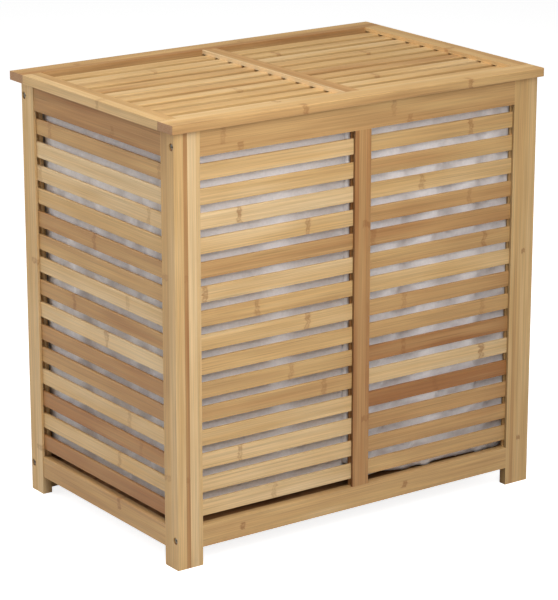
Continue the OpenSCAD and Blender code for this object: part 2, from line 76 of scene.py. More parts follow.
class Shader:
    """A material's node tree. Each call adds one node and gives back its output socket."""

    def __init__(self, name):
        self.material = bpy.data.materials.new(name)
        self.material.use_nodes = True
        self.tree = self.material.node_tree
        self.principled = self.tree.nodes["Principled BSDF"]
        place = self.tree.nodes.new("ShaderNodeTexCoord")
        self.position = place.outputs["Object"]
        self.normal = place.outputs["Normal"]

    def feed(self, socket, value):
        if isinstance(value, bpy.types.NodeSocket):
            self.tree.links.new(value, socket)
        else:
            socket.default_value = value

    def node(self, kind, **settings):
        made = self.tree.nodes.new("ShaderNode" + kind)
        for name, value in settings.items():
            setattr(made, name, value)
        return made

    def math(self, operation, first, second=0.0, third=0.0):
        made = self.node("Math", operation=operation)
        for socket, value in zip(made.inputs, (first, second, third)):
            self.feed(socket, value)
        return made.outputs[0]

    def add(self, first, second):
        return self.math("ADD", first, second)

    def times(self, first, second):
        return self.math("MULTIPLY", first, second)

    def clamp(self, value, low, high):
        return self.math("MINIMUM", self.math("MAXIMUM", value, low), high)

    def wave(self, value, length):
        """A sine wave from -1 to 1 with the given wavelength."""
        return self.math("SINE", self.times(value, 2 * math.pi / length))

    def split(self, vector):
        made = self.node("SeparateXYZ")
        self.feed(made.inputs[0], vector)
        return list(made.outputs)

    def join(self, *values):
        made = self.node("CombineXYZ")
        for socket, value in zip(made.inputs, values):
            self.feed(socket, value)
        return made.outputs[0]

    def noise(self, vector, scale=1.0, detail=2.0, roughness=0.5):
        made = self.node("TexNoise")
        self.feed(made.inputs["Vector"], vector)
        self.feed(made.inputs["Scale"], scale)
        self.feed(made.inputs["Detail"], detail)
        self.feed(made.inputs["Roughness"], roughness)
        return made.outputs["Fac"]

    def stretched_noise(self, x_scale, y_scale, z_scale):
        """Noise with its own scale along each axis of the object."""
        scales = (x_scale, y_scale, z_scale)
        parts = [self.times(part, scale) for part, scale in zip(self.split(self.position), scales)]
        return self.noise(self.join(*parts))

    def random(self, *values):
        """A random number for each different value or set of values."""
        made = self.node("TexWhiteNoise", noise_dimensions="3D")
        self.feed(made.inputs["Vector"], self.join(*values))
        return made.outputs["Value"]

    def smooth(self, value, low, high, at_low=0.0, at_high=1.0):
        """Goes smoothly from at_low to at_high as value goes from low to high."""
        made = self.node("MapRange", interpolation_type="SMOOTHSTEP")
        for name, given in (("Value", value), ("From Min", low), ("From Max", high),
                            ("To Min", at_low), ("To Max", at_high)):
            self.feed(made.inputs[name], given)
        return made.outputs["Result"]

    def mix(self, factor, first, second, blend="MIX"):
        made = self.node("Mix", data_type="RGBA", blend_type=blend)
        self.feed(made.inputs[0], factor)
        self.feed(made.inputs[6], first)
        self.feed(made.inputs[7], second)
        return made.outputs[2]

    def shaded(self, colour, shade):
        """A colour multiplied by a number."""
        return self.mix(1.0, colour, self.join(shade, shade, shade), "MULTIPLY")

    def steps(self, factor, colours):
        """One flat colour per equal step of factor from 0 to 1."""
        made = self.node("ValToRGB")
        ramp = made.color_ramp
        ramp.interpolation = "CONSTANT"
        while len(ramp.elements) < len(colours):
            ramp.elements.new(1.0)
        for number, colour in enumerate(colours):
            ramp.elements[number].position = number / len(colours)
            ramp.elements[number].color = colour
        self.feed(made.inputs[0], factor)
        return made.outputs[0]

    def blend_of(self, factor, colours, places):
        """A smooth run of colours, each at its own place from 0 to 1."""
        made = self.node("ValToRGB")
        ramp = made.color_ramp
        while len(ramp.elements) < len(colours):
            ramp.elements.new(1.0)
        for element, colour, place in zip(ramp.elements, colours, places):
            element.position = place
            element.color = colour
        self.feed(made.inputs[0], factor)
        return made.outputs[0]

    def colour_parts(self, colour):
        made = self.node("SeparateColor")
        self.feed(made.inputs[0], colour)
        return list(made.outputs)

    def bump(self, height, strength, distance):
        made = self.node("Bump")
        self.feed(made.inputs["Height"], height)
        made.inputs["Strength"].default_value = strength
        made.inputs["Distance"].default_value = distance
        self.tree.links.new(made.outputs[0], self.principled.inputs["Normal"])

    def surface(self, color, roughness=0.5, specular=0.5, metallic=0.0, sheen=0.0, coat=0.0):
        inputs = self.principled.inputs
        self.feed(inputs["Base Color"], color)
        self.feed(inputs["Roughness"], roughness)
        inputs["Metallic"].default_value = metallic
        inputs["Specular IOR Level"].default_value = specular
        inputs["Sheen Weight"].default_value = sheen
        inputs["Coat Weight"].default_value = coat
        inputs["Coat Roughness"].default_value = 0.35


# ---- Camera, lights and floor -------------------------------------------------------------------

CAMERA_PLACE = (-2.0722, -2.9361, 1.3562)
CAMERA_YAW, CAMERA_PITCH = math.radians(35.24), math.radians(16.84)
CAMERA_LENS = 162.93
WORLD_LIGHT = 0.13
FLOOR_HALF = 6.0


def make_camera():
    """The camera at the photograph's viewing angle: front left, a little above."""
    data = bpy.data.cameras.new("camera")
    data.lens = CAMERA_LENS
    data.sensor_width = 36
    data.clip_start = 0.05
    camera = bpy.data.objects.new("camera", data)
    camera.location = CAMERA_PLACE
    camera.rotation_euler = (math.pi / 2 - CAMERA_PITCH, 0, -CAMERA_YAW)
    bpy.context.scene.collection.objects.link(camera)
    bpy.context.scene.camera = camera


def make_softbox(name, place, target, size, power):
    """An area light of a (width, height) at a place, which faces the target."""
    data = bpy.data.lights.new(name, "AREA")
    data.shape = "RECTANGLE"
    data.size, data.size_y = size
    data.energy = power
    lamp = bpy.data.objects.new(name, data)
    lamp.location = place
    lamp.rotation_euler = (Vector(place) - Vector(target)).to_track_quat("Z", "Y").to_euler()
    bpy.context.scene.collection.objects.link(lamp)


def make_lights():
    """The main softbox at the front left, one overhead, and one towards each other side."""
    front_left = (-0.25, -0.19, 0.40)
    middle = (0, 0, 0.45)
    make_softbox("front_light", (-0.42, -1.10, 1.12), front_left, (0.8, 1.1), 13)
    make_softbox("side_light", (-1.5, 1.0, 1.1), middle, (1.2, 1.2), 13)
    make_softbox("top_light", (-0.35, -0.3, 2.1), middle, (1.2, 1.2), 20)
    make_softbox("back_light", (-0.8, 2.6, 1.3), middle, (1.4, 1.4), 12)
    make_softbox("right_light", (2.5, 0.0, 1.0), middle, (1.4, 1.4), 22)


def make_world(strength):
    """An even white surround that gives weak light and looks as white as the floor."""
    world = bpy.data.worlds.new("studio")
    world.use_nodes = True
    tree = world.node_tree
    background = tree.nodes["Background"]
    background.inputs["Color"].default_value = (1, 1, 1, 1)
    seen = tree.nodes.new("ShaderNodeLightPath").outputs["Is Camera Ray"]
    level = tree.nodes.new("ShaderNodeMapRange")
    level.inputs["To Min"].default_value = strength
    level.inputs["To Max"].default_value = 1.0
    tree.links.new(seen, level.inputs["Value"])
    tree.links.new(level.outputs["Result"], background.inputs["Strength"])
    bpy.context.scene.world = world


def make_floor():
    """A plain pale floor that is lit up to near white where the camera sees it."""
    half = FLOOR_HALF
    corners = [(-half, -half, 0), (half, -half, 0), (half, half, 0), (-half, half, 0)]
    floor = mesh_object("floor", corners, [(0, 1, 2, 3)])
    floor.location.z = -0.2 * MM
    shader = Shader("floor_white")
    shader.surface(roughness=0.9, specular=0.1, color=(0.68, 0.68, 0.68, 1))
    light_path = shader.node("LightPath")
    glow = shader.times(light_path.outputs["Is Camera Ray"], 0.85)
    shader.principled.inputs["Emission Color"].default_value = (1, 1, 1, 1)
    shader.feed(shader.principled.inputs["Emission Strength"], glow)
    floor.data.materials.append(shader.material)


bpy.context.scene.view_settings.view_transform = "Standard"
make_camera()
make_world(WORLD_LIGHT)
make_floor()
make_lights()


# ---- Bamboo -------------------------------------------------------------------------------------

DARK_STRIP = srgb(161, 108, 61)
GOLD_STRIP = srgb(207, 168, 112)
PALE_STRIP = srgb(226, 196, 150)
NODE_BROWN = srgb(138, 88, 46)
END_GRAIN = srgb(172, 134, 98)
NODE_SPACING = 270 * MM
NO_NODE = "."


def strip_colours(tones, nodes):
    """Tone, node place and node strength of each strip as the parts of one colour. tones and nodes
    have one digit per strip: 0 dark to 9 pale, and the node's place in tenths along the strip."""
    colours = []
    for tone, place in zip(tones, nodes):
        strength = 0.0 if place == NO_NODE else 1.0
        where = 0.0 if place == NO_NODE else int(place) / 10 + 0.05
        colours.append((int(tone) / 9, where, strength, 1.0))
    return colours


def bamboo(name, grain, across, low, high, tones, nodes, along_start=0.0, seed=0, painted_side_shade=0.0):
    """Bamboo strips that run along the grain axis and lie side by side along the across axis, from
    low to high. The side darkening is painted shade: how much darker the faces that look along the
    across axis are coloured, as if they lay in shadow."""
    shader = Shader(name)
    place = shader.split(shader.position)
    depth = 3 - grain - across
    along = place[grain]

    count = len(tones)
    share = shader.math("DIVIDE", shader.add(place[across], -low), high - low)
    share = shader.clamp(share, 0.0, 0.999)
    index = shader.math("FLOOR", shader.times(share, count))
    strips = shader.steps(share, strip_colours(tones, nodes))
    tone, node_place, node_strength = shader.colour_parts(strips)
    chance = shader.random(index, seed + 0.37, 0.0)

    # Lengthwise fibres, drawn out along the grain, each strip with its own piece of the pattern
    def grain_noise(along_scale, across_scale, offset, detail=2.0):
        parts = [None, None, None]
        parts[grain] = shader.add(shader.times(along, along_scale), shader.times(chance, 91.0))
        parts[across] = shader.add(shader.times(place[across], across_scale), offset)
        parts[depth] = shader.times(place[depth], across_scale)
        return shader.noise(shader.join(*parts), detail=detail)

    fine = grain_noise(14.0, 1500.0, 0.0)
    medium = grain_noise(5.0, 420.0, 7.0)
    broad = grain_noise(2.5, 90.0, 3.0)
    patches = grain_noise(7.0, 26.0, 11.0, 1.0)

    # The node of the culm: a brown band across the strip with a fine dark line in it
    wander = shader.times(shader.add(grain_noise(60.0, 150.0, 19.0, 3.0), -0.5), 15 * MM)
    offset = shader.add(shader.add(along, wander), -along_start)
    offset = shader.math("DIVIDE", offset, NODE_SPACING)
    offset = shader.math("FRACT", shader.add(shader.math("SUBTRACT", offset, node_place), 100.5))
    distance = shader.times(shader.math("ABSOLUTE", shader.add(offset, -0.5)), NODE_SPACING)
    band = shader.smooth(distance, 5.5 * MM, 1.5 * MM)
    rim = shader.math("ABSOLUTE", shader.add(distance, -2.4 * MM))
    line = shader.smooth(rim, 1.4 * MM, 0.3 * MM)
    ragged = shader.smooth(fine, 0.3, 0.65, 0.3, 1.0)
    vigour = shader.smooth(shader.random(index, seed + 5.1, 1.0), 0.0, 1.0, 0.45, 1.0)
    vigour = shader.times(node_strength, vigour)
    blotch = shader.smooth(grain_noise(90.0, 260.0, 43.0), 0.35, 0.6, 0.35, 1.0)
    brown = shader.times(shader.times(band, blotch), shader.times(vigour, 0.6))
    dark = shader.times(shader.times(line, ragged), shader.times(vigour, 0.5))

    tone = shader.add(tone, shader.times(shader.add(broad, -0.5), 0.6))
    tone = shader.add(tone, shader.times(shader.add(patches, -0.5), 0.4))
    tone = shader.clamp(tone, 0.0, 1.0)
    colour = shader.blend_of(tone, (DARK_STRIP, GOLD_STRIP, PALE_STRIP), (0.0, 0.6, 1.0))
    fibre = shader.add(shader.times(fine, 0.5), shader.times(medium, 0.5))
    streak = shader.smooth(grain_noise(6.0, 700.0, 31.0), 0.6, 0.72, 0.0, 0.18)
    fibre_shade = shader.math("SUBTRACT", shader.smooth(fibre, 0.33, 0.67, 0.83, 1.09), streak)
    colour = shader.shaded(colour, fibre_shade)
    colour = shader.mix(brown, colour, NODE_BROWN)
    colour = shader.mix(dark, colour, DARK_STRIP)

    # Cut ends show the fibre bundles as dots
    facing = shader.math("ABSOLUTE", shader.split(shader.normal)[grain])
    cut_end = shader.smooth(facing, 0.6, 0.9)
    dots = shader.node("TexVoronoi")
    shader.feed(dots.inputs["Vector"], shader.position)
    dots.inputs["Scale"].default_value = 900.0
    dotted = shader.mix(shader.smooth(dots.outputs["Distance"], 0.2, 0.55), DARK_STRIP, END_GRAIN)
    colour = shader.mix(cut_end, colour, dotted)

    # Painted shade: faces that look along the across axis are coloured darker, as if in shadow
    if painted_side_shade:
        sideways = shader.math("ABSOLUTE", shader.split(shader.normal)[across])
        colour = shader.shaded(colour, shader.smooth(sideways, 0.6, 0.9, 1.0, 1.0 - painted_side_shade))

    height = shader.add(shader.times(fibre, 0.7), shader.times(band, 0.5))
    shader.bump(height, 0.35, 0.25 * MM)
    rough = shader.smooth(fibre, 0.3, 0.7, 0.36, 0.52)
    shader.surface(colour, roughness=rough, specular=0.4, coat=0.05)
    return shader.material


def random_digits(count, seed, node_share=0.8):
    """Tones and node places for strips that the photograph doesn't show."""
    rng = random.Random(seed)
    tones = "".join(str(rng.choice((2, 3, 4, 5, 5, 6, 7, 7, 8))) for _ in range(count))
    nodes = "".join(str(rng.randrange(10)) if rng.random() < node_share else NO_NODE
                    for _ in range(count))
    return tones, nodes


# ---- CAD nodes ----------------------------------------------------------------------------------

def ease_edges(node, width, segments=2):
    """Joins the node's faces and rounds its sharp edges, as modifiers on the CAD mesh."""
    weld = node.modifiers.new("weld", "WELD")
    weld.merge_threshold = 0.01 * MM
    bevel = node.modifiers.new("bevel", "BEVEL")
    bevel.width = width
    bevel.segments = segments
    bevel.limit_method = "ANGLE"
    bevel.angle_limit = math.radians(35)
    shade = node.modifiers.new("normals", "WEIGHTED_NORMAL")
    shade.keep_sharp = False


def finish_node(name, material, edge=0.7 * MM):
    """Gives a CAD node its material and eased edges."""
    node = NODES[name]
    node.data.materials.clear()
    node.data.materials.append(material)
    ease_edges(node, edge)


# Tones and nodes of the slats, from the lowest coordinate to the highest: those of a body panel
# from the bottom up, and those of the lid from the front to the back
PANELS = {
    "front_left_slats": ("777645565736866", "4.2.75.630.62.."),
    "front_right_slats": ("433071436423645", "...47272.7063.6"),
    "left_slats": ("161732837435884", ".423..583.6.1.0"),
    "lid_left_slats": ("6556564565", "6..6....5."),
    "lid_right_slats": ("5564455655", "..3...6.2."),
}
SLAT_GAP = 11 * MM
BODY_SLATS, LID_SLATS = 15, 10
# How much painted shade darkens the stiles' side faces
STILE_PAINTED_SIDE_SHADE = 0.5


def finish_slats(name, grain, across, count):
    """Slats side by side in one node: equal steps across it hold one slat each."""
    low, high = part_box(name)
    tones, nodes = PANELS.get(name) or random_digits(count, name)
    material = bamboo("bamboo_" + name, grain, across,
                      low[across] - SLAT_GAP / 2, high[across] + SLAT_GAP / 2,
                      tones, nodes, along_start=low[grain], seed=len(name))
    finish_node(name, material)


for side in ("left", "right"):
    finish_slats(f"front_{side}_slats", X, Z, BODY_SLATS)
    finish_slats(f"back_{side}_slats", X, Z, BODY_SLATS)
    finish_slats(f"{side}_slats", Y, Z, BODY_SLATS)
    finish_slats(f"lid_{side}_slats", X, Y, LID_SLATS)


def finish_rail(name, grain, across, tones, nodes):
    """A rail, stile or leg glued up from strips that lie side by side along the across axis."""
    low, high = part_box(name)
    # Stiles get painted shade on the side faces that look along their across axis
    painted_side_shade = STILE_PAINTED_SIDE_SHADE if name.endswith("stile") else 0.0
    material = bamboo("bamboo_" + name, grain, across, low[across], high[across], tones, nodes,
                      along_start=low[grain], seed=sum(map(ord, name)) % 97, painted_side_shade=painted_side_shade)
    finish_node(name, material, 0.9 * MM)


finish_rail("left_front_leg", Z, Y, "65", ".4")
finish_rail("left_back_leg", Z, Y, "76", "2.")
finish_rail("right_front_leg", Z, Y, "65", ".3")
finish_rail("right_back_leg", Z, Y, "57", "..")
finish_rail("front_left_stile", Z, X, "2887", "4...")
finish_rail("front_centre_stile", Z, X, "1222", "..33")
finish_rail("front_right_stile", Z, X, "5456", "...2")
finish_rail("front_top_rail", X, Z, "444", "211")
finish_rail("front_bottom_rail", X, Z, "545", ".2.")
finish_rail("back_left_stile", Z, X, "7667", ".6..")
finish_rail("back_centre_stile", Z, X, "3433", "5...")
finish_rail("back_right_stile", Z, X, "7576", "...8")
finish_rail("back_top_rail", X, Z, "544", "..6")
finish_rail("back_bottom_rail", X, Z, "454", "7..")
for side, marks in (("left", ("4.", ".4")), ("right", (".7", "2."))):
    finish_rail(f"{side}_top_rail", Y, Z, "22", marks[0])
    finish_rail(f"{side}_bottom_rail", Y, Z, "44", marks[1])
    finish_rail(f"lid_{side}_rail", Y, X, "64" if side == "left" else "54", "5.")
finish_rail("lid_front_rail", X, Y, "456", "7..")
finish_rail("lid_back_rail", X, Y, "245", ".3.")
finish_rail("lid_centre_rail", Y, X, "82322332", "...5....")
finish_rail("front_base_batten", X, Z, "4", "3")
finish_rail("back_base_batten", X, Z, "5", "6")
finish_rail("centre_crossbar", Y, X, "56", "5.")


# ---- Hardware, board, dowels, tapes and bumpers -------------------------------------------------

def plated_metal(name, colour, dark, nodes, roughness):
    """Plated steel or brass with fine scratches and dull patches."""
    shader = Shader(name)
    patches = shader.noise(shader.position, 110.0, 3.0)
    scratches = shader.math("MAXIMUM", shader.stretched_noise(300.0, 4000.0, 600.0),
                            shader.stretched_noise(3500.0, 500.0, 900.0))
    dull = shader.add(shader.times(patches, 0.7), shader.times(scratches, 0.3))
    dull = shader.smooth(dull, 0.4, 0.65)
    colour = shader.mix(shader.times(dull, 0.45), colour, dark)
    shader.bump(scratches, 0.15, 0.05 * MM)
    rough = shader.smooth(dull, 0.0, 1.0, roughness - 0.08, roughness + 0.14)
    shader.surface(colour, roughness=rough, metallic=1.0)
    for node in nodes:
        finish_node(node, shader.material, 0.15 * MM)


def turned_beech(name, node):
    """Pale beech with short dark flecks along the dowel."""
    shader = Shader(name)
    grain = shader.stretched_noise(30.0, 900.0, 900.0)
    flecks = shader.stretched_noise(350.0, 2500.0, 2500.0)
    colour = shader.mix(shader.smooth(grain, 0.35, 0.65), srgb(206, 168, 124), srgb(228, 199, 160))
    colour = shader.mix(shader.smooth(flecks, 0.62, 0.7, 0.0, 0.6), colour, srgb(150, 104, 66))
    shader.bump(grain, 0.2, 0.1 * MM)
    shader.surface(colour, roughness=0.55, specular=0.35)
    finish_node(node, shader.material, 0.4 * MM)


def plywood_board(name, node):
    """Brown face veneer with grain along X, and pale and dark plies in the cut edges."""
    shader = Shader(name)
    low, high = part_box(node)
    x, y, z = shader.split(shader.position)
    bend = shader.times(shader.noise(shader.position, 6.0), 40 * MM)
    curved = shader.join(shader.times(x, 3.0), shader.times(shader.add(y, bend), 70.0), 0.0)
    figure = shader.noise(curved, detail=4.0)
    pores = shader.stretched_noise(60.0, 1400.0, 0.0)
    face = shader.mix(shader.smooth(figure, 0.35, 0.65), srgb(120, 84, 54), srgb(164, 122, 82))
    face = shader.mix(shader.smooth(pores, 0.6, 0.7, 0.0, 0.5), face, srgb(84, 56, 34))
    ply = shader.math("DIVIDE", shader.add(z, -low.z), high.z - low.z)
    plies = shader.steps(ply, (srgb(150, 112, 74), srgb(98, 66, 42), srgb(168, 130, 90)))
    edge_on = shader.smooth(shader.math("ABSOLUTE", shader.split(shader.normal)[Z]), 0.8, 0.5)
    shader.bump(shader.add(figure, shader.times(pores, 0.5)), 0.2, 0.15 * MM)
    shader.surface(shader.mix(edge_on, face, plies), roughness=0.6, specular=0.3)
    finish_node(node, shader.material, 0.3 * MM)


def hook_tape(name, node):
    """White woven tape covered in small hooks, with plain woven edges."""
    shader = Shader(name)
    hooks = shader.node("TexVoronoi")
    shader.feed(hooks.inputs["Vector"], shader.position)
    hooks.inputs["Scale"].default_value = 620.0
    hook = shader.smooth(hooks.outputs["Distance"], 0.55, 0.1)
    low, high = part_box(node)
    z = shader.split(shader.position)[Z]
    from_middle = shader.math("ABSOLUTE", shader.add(z, -(low.z + high.z) / 2))
    field = shader.smooth(from_middle, 8.6 * MM, 8.0 * MM)
    hook = shader.times(hook, field)
    rib = shader.smooth(shader.wave(z, 0.7 * MM), -1.0, 1.0, 0.0, 0.3)
    colour = shader.mix(hook, srgb(198, 197, 193), srgb(236, 235, 231))
    shader.bump(shader.add(hook, rib), 0.8, 0.5 * MM)
    shader.surface(colour, roughness=0.7, specular=0.3)
    finish_node(node, shader.material, 0.25 * MM)


def soft_rubber(name, node):
    """Milky bumpers with a fine speckle."""
    shader = Shader(name)
    speckle = shader.noise(shader.position, 2200.0, 3.0)
    cloud = shader.noise(shader.position, 180.0)
    colour = shader.mix(shader.smooth(cloud, 0.35, 0.65), srgb(198, 196, 188), srgb(216, 214, 208))
    colour = shader.mix(shader.smooth(speckle, 0.62, 0.72, 0.0, 0.35), colour, srgb(160, 156, 146))
    shader.bump(speckle, 0.2, 0.1 * MM)
    shader.surface(colour, roughness=shader.smooth(speckle, 0.3, 0.7, 0.4, 0.6), specular=0.4)
    finish_node(node, shader.material, 0.5 * MM)


plated_metal("plated_steel", srgb(190, 188, 182), srgb(126, 124, 120), ("frame_bolts",), 0.32)
plated_metal("screw_zinc", srgb(158, 154, 146), srgb(92, 90, 86),
             ("batten_screws", "hinge_body_screws", "hinge_lid_screws"), 0.38)
plated_metal("hinge_steel", srgb(198, 196, 190), srgb(140, 138, 132),
             ("hinge_body_leaves", "hinge_lid_leaves", "hinge_pins"), 0.28)
plated_metal("brass", srgb(206, 172, 104), srgb(148, 112, 58), ("threaded_inserts",), 0.32)
turned_beech("beech", "locating_dowels")
plywood_board("plywood", "base_board")
hook_tape("tape", "hook_tapes")
soft_rubber("rubber", "lid_bumpers")


# ---- Liner bags ---------------------------------------------------------------------------------

CLOTH_STEP = 8 * MM          # spacing of the cloth's points before they are subdivided
CLOTH_THICK = 0.6 * MM
BAG_INSET = 1.5 * MM         # how far the cloth starts inside its CAD solid
SETTLE_FRAMES = 45
CORNER = 20 * MM             # radius that the upright corners hang in
HEM = 20 * MM                # depth of the hem round the mouth
SLACK = 0.018                # how much larger the cloth is cut than the space it hangs in
WALL_AIR = 2.0 * MM          # how far the cloth may stand out past its CAD solid outside the bays
BAG_BOXES = {side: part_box(f"{side}_liner_bag") for side in ("left", "right")}
STOP_THICK = 50 * MM         # of the simulation's solids that hold the cloth in
STOP_GAP = 2.2 * MM          # how far outside the bags' boxes they stand
STOP_TOP = 600 * MM

# Creases: the size of the cells that each layer follows, and the layer's share of the height
CREASE_LAYERS = ((95 * MM, 0.3), (48 * MM, 0.4), (21 * MM, 0.2), (9 * MM, 0.1))
CREASE_DEPTH = {"left": 6.0 * MM, "right": 9.0 * MM}
# The packet's folds in each bag's walls: how far along X, from 0 to 1, and how high each stands
FOLDS = {
    "left": ((0.74, 0.8 * MM),),
    "right": ((0.21, 2.0 * MM), (0.43, 3.0 * MM), (0.80, 2.0 * MM)),
}
FOLD_HALF = 16 * MM

# The front wall's distance from the slats
DEEPEST = {"left": 11 * MM, "right": 1 * MM}    # how far back it hangs towards its ends
NEAREST = 0.6                # where along X it comes nearest, from 0 to 1
SEAM_START = 0.82            # how far from there to a corner it starts to turn back to the seam

# Where the cloth stands out between legs, stiles and rails
SIDE_BULGE, FRONT_BULGE = 3.5 * MM, 1.8 * MM
BEHIND_LEG, BEHIND_STILE = 22 * MM, 24 * MM     # how much of each wall's ends they hide
BEHIND_TOP_RAIL, BEHIND_BOTTOM_RAIL = 50 * MM, 20 * MM


def rounded(point, low, high):
    """A point of a box moved so that the box gets rounded upright corners."""
    inner = Vector((clamp(point.x, low.x + CORNER, high.x - CORNER),
                    clamp(point.y, low.y + CORNER, high.y - CORNER), point.z))
    out = point - inner
    reach = max(abs(out.x), abs(out.y))
    return inner + out.normalized() * reach if reach > 0 else point


def bag_shell(name, low, high):
    """An open-topped cloth box as a grid of quads."""
    size = high - low
    count = [max(4, round(length / CLOTH_STEP)) for length in size]
    index, points = {}, []
    for k in range(count[Z] + 1):
        for i in range(count[X] + 1):
            for j in range(count[Y] + 1):
                if k > 0 and 0 < i < count[X] and 0 < j < count[Y]:
                    continue
                share = Vector((i / count[X], j / count[Y], k / count[Z]))
                point = low + Vector(a * b for a, b in zip(share, size))
                index[i, j, k] = len(points)
                points.append(rounded(point, low, high))
    faces = []
    for i in range(count[X]):
        for j in range(count[Y]):
            corners = [(i, j, 0), (i, j + 1, 0), (i + 1, j + 1, 0), (i + 1, j, 0)]
            faces.append([index[corner] for corner in corners])
    for k in range(count[Z]):
        for i in range(count[X]):
            for j, turn in ((0, 1), (count[Y], -1)):
                corners = [(i, j, k), (i + 1, j, k), (i + 1, j, k + 1), (i, j, k + 1)]
                faces.append([index[corner] for corner in corners[::turn]])
        for j in range(count[Y]):
            for i, turn in ((0, -1), (count[X], 1)):
                corners = [(i, j, k), (i, j + 1, k), (i, j + 1, k + 1), (i, j, k + 1)]
                faces.append([index[corner] for corner in corners[::turn]])
    return mesh_object(name, points, faces)


def stop_box(name, low, high):
    """A temporary solid that the simulated cloth rests on or leans against."""
    corners = [(x, y, z) for z in (low[Z], high[Z])
               for y in (low[Y], high[Y]) for x in (low[X], high[X])]
    quads = [(0, 2, 3, 1), (4, 5, 7, 6), (0, 1, 5, 4), (2, 6, 7, 3), (0, 4, 6, 2), (1, 3, 7, 5)]
    stop = mesh_object(name, corners, quads)
    stop.modifiers.new("collision", "COLLISION")
    stop.collision.thickness_outer = 1 * MM
    stop.collision.thickness_inner = 1 * MM
    return stop


def make_stops():
    """A floor at the base board and four walls at the frame's inner faces."""
    low, high = BAG_BOXES["left"][0], BAG_BOXES["right"][1]
    floor_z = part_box("base_board")[1].z
    x0, x1 = low.x - STOP_GAP, high.x + STOP_GAP
    y0, y1 = low.y - STOP_GAP, high.y + STOP_GAP
    far_x0, far_x1 = x0 - STOP_THICK, x1 + STOP_THICK
    far_y0, far_y1 = y0 - STOP_THICK, y1 + STOP_THICK
    base_z = floor_z - STOP_THICK
    return [
        stop_box("stop_base", (far_x0, far_y0, base_z), (far_x1, far_y1, floor_z)),
        stop_box("stop_front", (far_x0, far_y0, 0), (far_x1, y0, STOP_TOP)),
        stop_box("stop_back", (far_x0, y1, 0), (far_x1, far_y1, STOP_TOP)),
        stop_box("stop_left", (far_x0, far_y0, 0), (x0, far_y1, STOP_TOP)),
        stop_box("stop_right", (x1, far_y0, 0), (far_x1, far_y1, STOP_TOP)),
    ]


def add_cloth(bag, top):
    """Cloth that hangs from its mouth, cut a little larger than the space it hangs in."""
    held = bag.vertex_groups.new(name="mouth")
    band = [vertex.index for vertex in bag.data.vertices if vertex.co.z > top - HEM - 1 * MM]
    held.add(band, 1.0, "REPLACE")
    cloth = bag.modifiers.new("cloth", "CLOTH")
    settings = cloth.settings
    settings.quality = 6
    settings.mass = 0.04
    settings.tension_stiffness = 25
    settings.compression_stiffness = 25
    settings.shear_stiffness = 8
    settings.bending_stiffness = 0.12
    settings.tension_damping = 12
    settings.compression_damping = 12
    settings.shear_damping = 12
    settings.vertex_group_mass = "mouth"
    settings.shrink_min = -SLACK
    cloth.collision_settings.distance_min = 1 * MM


def settle(bags, frames):
    """Runs the simulation and puts its result in each bag's mesh, with one subdivision."""
    scene = bpy.context.scene
    for bag in bags:
        bag.modifiers["cloth"].point_cache.frame_end = frames
    for number in range(1, frames + 1):
        scene.frame_set(number)
    for bag in bags:
        smooth = bag.modifiers.new("subdivision", "SUBSURF")
        smooth.levels = 1
        graph = bpy.context.evaluated_depsgraph_get()
        settled = bpy.data.meshes.new_from_object(bag.evaluated_get(graph))
        bag.modifiers.clear()
        bag.data = settled
    scene.frame_set(1)


def crease_height(point, seed):
    """Height of the creases that cloth keeps from being folded in a packet, from 0 to about 1."""
    height = 0.0
    for cell, share in CREASE_LAYERS:
        near, next_near = noise.voronoi(point / cell + Vector((seed, 2.7 * seed, 0)))[0][:2]
        height += share * (1 - min(1.0, 1.6 * (next_near - near)))
    return height


def crease_amount(point, side):
    """How strongly a spot is creased: the left bag's front is smooth, the other walls are not."""
    if side == "right":
        return 1.0
    low = BAG_BOXES["left"][0]
    from_edge = min(1.0, (point.x - low.x) / (40 * MM))
    from_front = min(1.0, (point.y - low.y) / (40 * MM))
    return 1.0 - 0.8 * from_edge * (1 - from_front)


def fold_height(point, side):
    """Sharp upright ridges where the bag was folded flat."""
    low, high = BAG_BOXES[side]
    height = 0.0
    for share, ridge in FOLDS[side]:
        sway = 5 * MM * noise.noise(Vector((share, side == "left", point.z / (90 * MM))))
        off = abs(point.x - low.x - share * (high.x - low.x) - sway) / FOLD_HALF
        height += ridge * max(0.0, 1 - off)
    return height


def front_recess(point, side):
    """How far the front wall hangs back from the slats: more and more away from its nearest spot,
    and less again beside its corner seams and under its hem."""
    low, high = BAG_BOXES[side]
    nearest = low.x + NEAREST * (high.x - low.x)
    reach = nearest - low.x if point.x < nearest else high.x - nearest
    share = min(1.0, abs(point.x - nearest) / reach)
    at_seam = 1 - 0.9 * clamp((share - SEAM_START) / 0.1)
    on_front = clamp(1 - (point.y - low.y) / (60 * MM))
    below_hem = clamp((high.z - point.z) / (140 * MM), 0.25)
    return DEEPEST[side] * share ** 1.7 * at_seam * on_front * below_hem


def bay_bulge(point, side):
    """How far the outer wall and the front wall stand out along X and Y in the open bays between
    legs, stiles and rails, where only slats are in front of them."""
    low, high = BAG_BOXES[side]
    off_wall = abs(point.x - low.x if side == "left" else high.x - point.x)
    from_leg = min(point.y - low.y, high.y - point.y) - BEHIND_LEG
    off_front = abs(point.y - low.y)
    from_stile = min(point.x - low.x, high.x - point.x) - BEHIND_STILE
    from_rail = min(high.z - BEHIND_TOP_RAIL - point.z, point.z - low.z - BEHIND_BOTTOM_RAIL)
    in_bay = clamp(from_rail / (40 * MM))
    sideways = max(0.0, 1 - off_wall / (30 * MM)) * clamp(from_leg / (40 * MM))
    forwards = max(0.0, 1 - off_front / (30 * MM)) * clamp(from_stile / (50 * MM))
    return SIDE_BULGE * sideways * in_bay, FRONT_BULGE * forwards * in_bay


